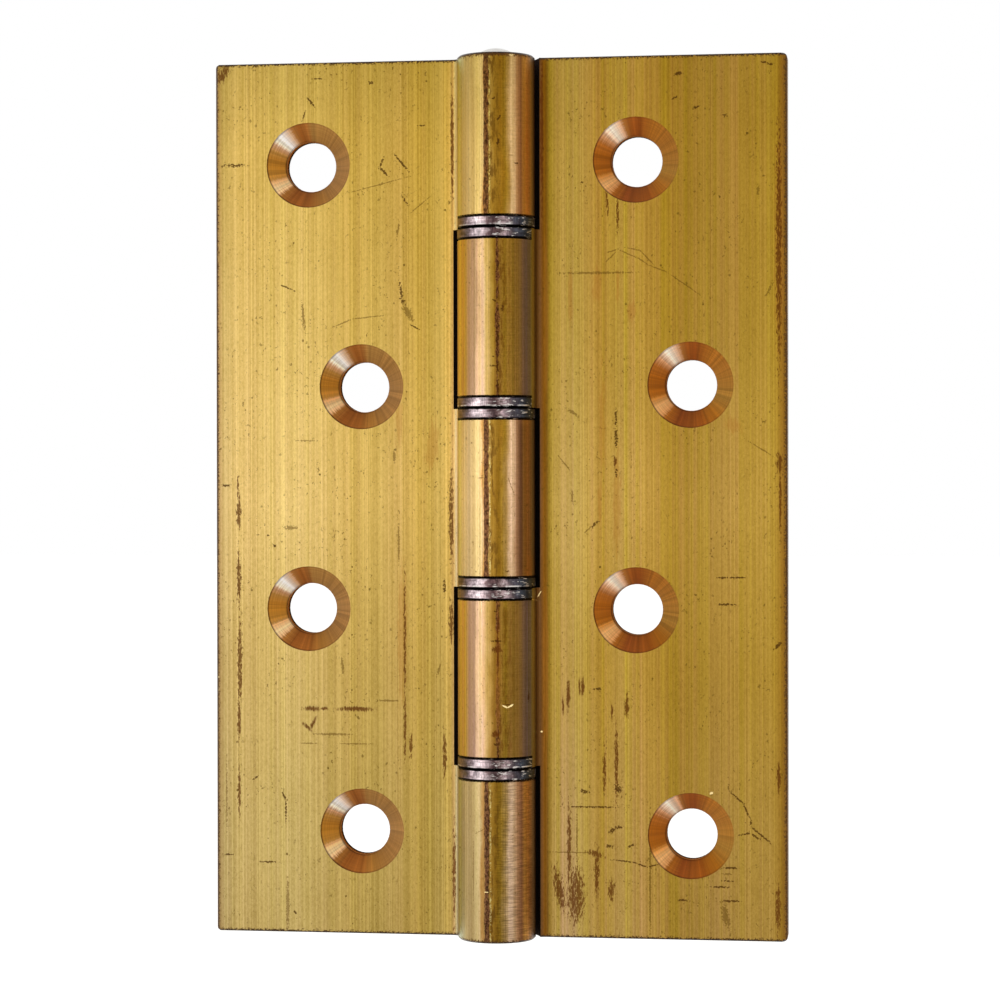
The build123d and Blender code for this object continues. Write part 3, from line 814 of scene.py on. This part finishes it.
class HingeStage(bpy.types.PropertyGroup):
    """The floor, the lamps and the camera."""

    floor_drop: FloatProperty(
        name="Floor below barrel", description="How far the floor is below the hinge",
        unit="LENGTH", min=0.001, max=1, default=0.06,
    )
    key_power: FloatProperty(
        name="Key lamp", description="Power of the lamp on the left", unit="POWER", min=0, default=0.5
    )
    fill_power: FloatProperty(
        name="Fill lamp", description="Power of the lamp on the right", unit="POWER", min=0, default=0.2
    )
    top_power: FloatProperty(
        name="Top lamp", description="Power of the lamp above", unit="POWER", min=0, default=1.2
    )
    camera_lens: FloatProperty(
        name="Lens", description="Focal length", unit="CAMERA", min=20, max=200, default=102.767
    )


class HINGE_OT_three_knuckle_leaf(bpy.types.Operator):
    """Finish the leaf with three knuckles"""

    bl_idname = "hinge.three_knuckle_leaf"
    bl_label = "Finish three-knuckle leaf"

    def execute(self, context):
        dress("three_knuckle_leaf", drawn_brass(LEFT_BAR, context.scene.hinge_brass))
        return {"FINISHED"}


class HINGE_OT_two_knuckle_leaf(bpy.types.Operator):
    """Finish the leaf with two knuckles"""

    bl_idname = "hinge.two_knuckle_leaf"
    bl_label = "Finish two-knuckle leaf"

    def execute(self, context):
        dress("two_knuckle_leaf", drawn_brass(RIGHT_BAR, context.scene.hinge_brass))
        return {"FINISHED"}


class HINGE_OT_washers(bpy.types.Operator):
    """Finish the washers"""

    bl_idname = "hinge.washers"
    bl_label = "Finish washers"

    def execute(self, context):
        steel = turned_steel(context.scene.hinge_steel)
        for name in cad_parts:
            if name.startswith("washer"):
                dress(name, steel)
        return {"FINISHED"}


class HINGE_OT_pin(bpy.types.Operator):
    """Finish the pin"""

    bl_idname = "hinge.pin"
    bl_label = "Finish pin"

    def execute(self, context):
        dress("hinge_pin", bright_steel(context.scene.hinge_steel))
        return {"FINISHED"}


def seen_directly(tree):
    """1 for rays from the camera, a mirror-like surface or through glass, and 0 for light on the hinge."""
    paths = add(tree, "LightPath").node.outputs
    seen = add(tree, "Math", paths["Is Camera Ray"], paths["Is Glossy Ray"], operation="MAXIMUM")
    return add(tree, "Math", seen, paths["Is Transmission Ray"], operation="MAXIMUM")


def pale_floor(height):
    """A wide, matt floor that glows a little where it is seen, so that it looks white."""
    half = 4.0
    corners = [(-half, -half, height), (half, -half, height), (half, half, height), (-half, half, height)]
    sheet = bpy.data.meshes.new("Floor")
    sheet.from_pydata(corners, [], [(0, 1, 2, 3)])
    floor = bpy.data.objects.new("Floor", sheet)
    bpy.context.scene.collection.objects.link(floor)
    pale = bpy.data.materials.new("Pale matt floor")
    tree = emptied(pale)
    glow = add(tree, "Math", seen_directly(tree), 0.4, operation="MULTIPLY")
    matt = add(tree, "BsdfDiffuse", linear("ecebe8"))
    add(tree, "OutputMaterial", add(tree, "AddShader", matt, add(tree, "Emission", (1, 1, 1), glow)))
    sheet.materials.append(pale)
    return floor


def pale_world():
    """A white surround, which lights the hinge a little less than it shows."""
    world = bpy.data.worlds.new("Pale surround")
    tree = emptied(world)
    strength = add(tree, "Math", seen_directly(tree), 0.2, 0.8, operation="MULTIPLY_ADD")
    add(tree, "OutputWorld", add(tree, "Background", (1, 1, 1), strength))
    return world


def soft_lamp(name, place, size, power):
    """A square lamp that faces the middle of the hinge, and that the camera doesn't see."""
    light = bpy.data.lights.new(name, "AREA")
    light.size, light.energy = size, power
    lamp = bpy.data.objects.new(name, light)
    bpy.context.scene.collection.objects.link(lamp)
    middle = Vector((0, 0, 0.05))
    away = Vector(place) - middle
    lamp.matrix_world = Matrix.Translation(place) @ away.to_track_quat("Z", "Y").to_matrix().to_4x4()
    lamp.visible_camera = False


def photo_camera(lens):
    """The camera that fits the photograph's outlines: a third of a metre off, 8 degrees to the right."""
    place = Vector((0.046173, -0.327430, 0.052764))
    yaw, pitch, roll = 0.13887, -0.00609, 0.00143
    turn = Matrix.Rotation(yaw, 4, "Z") @ Matrix.Rotation(pitch, 4, "X") @ Matrix.Rotation(roll, 4, "Y")
    view = bpy.data.cameras.new("Camera")
    view.lens, view.sensor_width, view.clip_start = lens, 36.0, 0.01
    camera = bpy.data.objects.new("Camera", view)
    bpy.context.scene.collection.objects.link(camera)
    upright = Matrix.Rotation(np.pi / 2, 4, "X")
    camera.matrix_world = Matrix.Translation(place) @ turn @ upright
    return camera


class HINGE_OT_stage(bpy.types.Operator):
    """Set the floor, the lamps and the camera"""

    bl_idname = "hinge.stage"
    bl_label = "Set the stage"

    def execute(self, context):
        scene, stage = context.scene, context.scene.hinge_stage
        pale_floor(-stage.floor_drop)
        scene.world = pale_world()
        soft_lamp("Key lamp", (-0.62, -0.50, 0.06), 0.3, stage.key_power)
        soft_lamp("Fill lamp", (0.52, -0.56, 0.12), 0.15, stage.fill_power)
        soft_lamp("Top lamp", (-0.15, -0.25, 0.75), 0.4, stage.top_power)
        scene.camera = photo_camera(stage.camera_lens)
        scene.view_settings.view_transform = "Standard"
        return {"FINISHED"}


STEPS = (
    HINGE_OT_three_knuckle_leaf, HINGE_OT_two_knuckle_leaf, HINGE_OT_washers, HINGE_OT_pin, HINGE_OT_stage,
)
GROUPS = {"hinge_brass": BrassFinish, "hinge_steel": SteelFinish, "hinge_stage": HingeStage}


class HINGE_PT_sidebar(bpy.types.Panel):
    """Sizes, colours and steps of the hinge"""

    bl_idname = "HINGE_PT_sidebar"
    bl_label = "Butt hinge"
    bl_space_type = "VIEW_3D"
    bl_region_type = "UI"
    bl_category = "Hinge"

    def draw(self, context):
        for group in GROUPS:
            settings = getattr(context.scene, group)
            for name in settings.__annotations__:
                self.layout.prop(settings, name)
        for step in STEPS:
            self.layout.operator(step.bl_idname)


def register():
    for group, kind in GROUPS.items():
        bpy.utils.register_class(kind)
        setattr(bpy.types.Scene, group, PointerProperty(type=kind))
    for part in (*STEPS, HINGE_PT_sidebar):
        bpy.utils.register_class(part)


def unregister():
    for part in (HINGE_PT_sidebar, *reversed(STEPS)):
        bpy.utils.unregister_class(part)
    for group, kind in GROUPS.items():
        delattr(bpy.types.Scene, group)
        bpy.utils.unregister_class(kind)


def main():
    """Registers the classes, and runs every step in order."""
    register()
    for step in STEPS:
        group, name = step.bl_idname.split(".")
        if getattr(getattr(bpy.ops, group), name)() != {"FINISHED"}:
            raise RuntimeError(f"{step.bl_label} did not finish")


if __name__ == "__main__":
    main()
